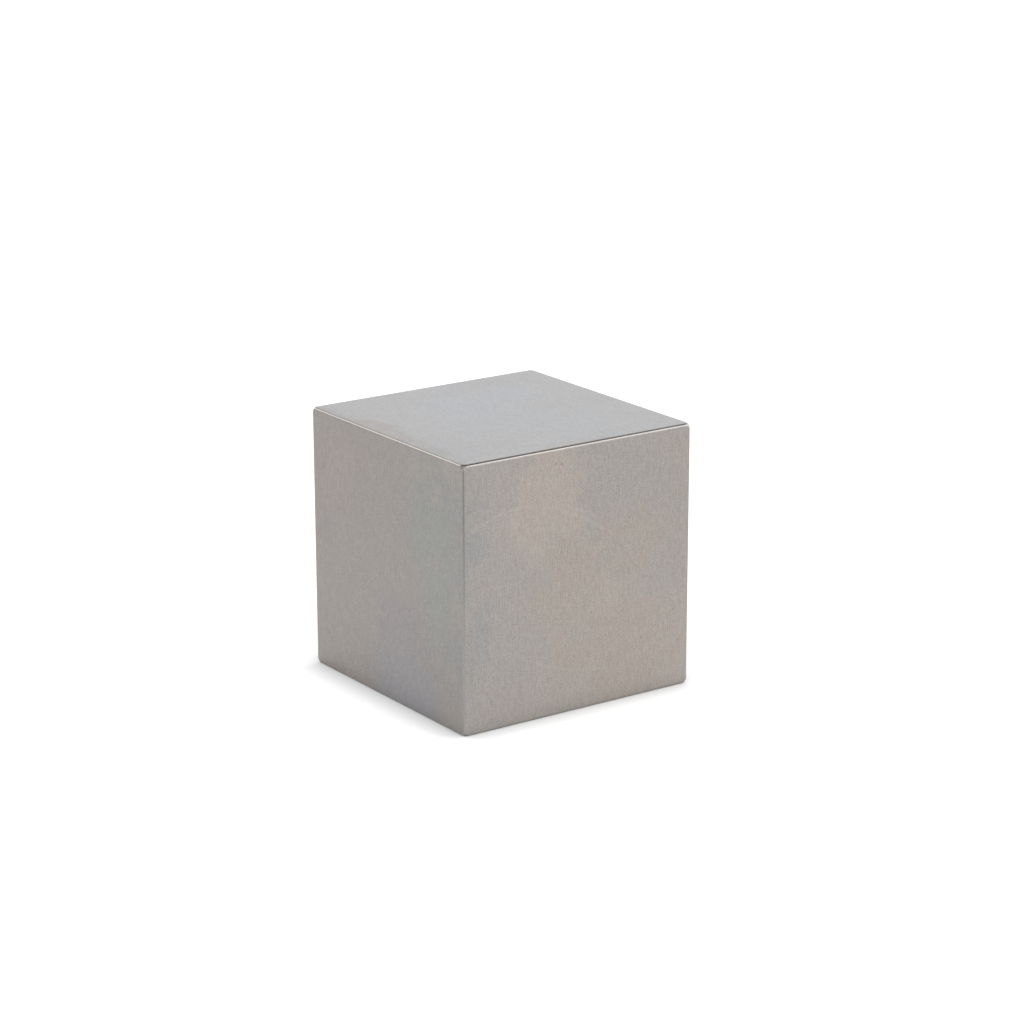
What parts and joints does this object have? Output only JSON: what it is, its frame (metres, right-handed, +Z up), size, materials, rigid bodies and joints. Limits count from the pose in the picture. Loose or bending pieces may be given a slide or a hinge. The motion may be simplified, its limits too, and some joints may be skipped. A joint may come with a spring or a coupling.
{
  "type": "tungsten cube",
  "caption": "Solid tungsten cube with ground faces, small rounded edges and slightly dubbed corners, for a desk or as a dense weight.",
  "frame": {"origin": "centre of the base face, on the surface that the cube stands on", "axes": "+Z up through the top face, -Y out of the front face, -X out of the left face"},
  "size_m": [0.0382, 0.0382, 0.0381],
  "materials": {
    "ground_tungsten": "satin"
  },
  "bodies": {
    "root": {"tungsten_cube": "ground_tungsten"}
  },
  "joints": []
}
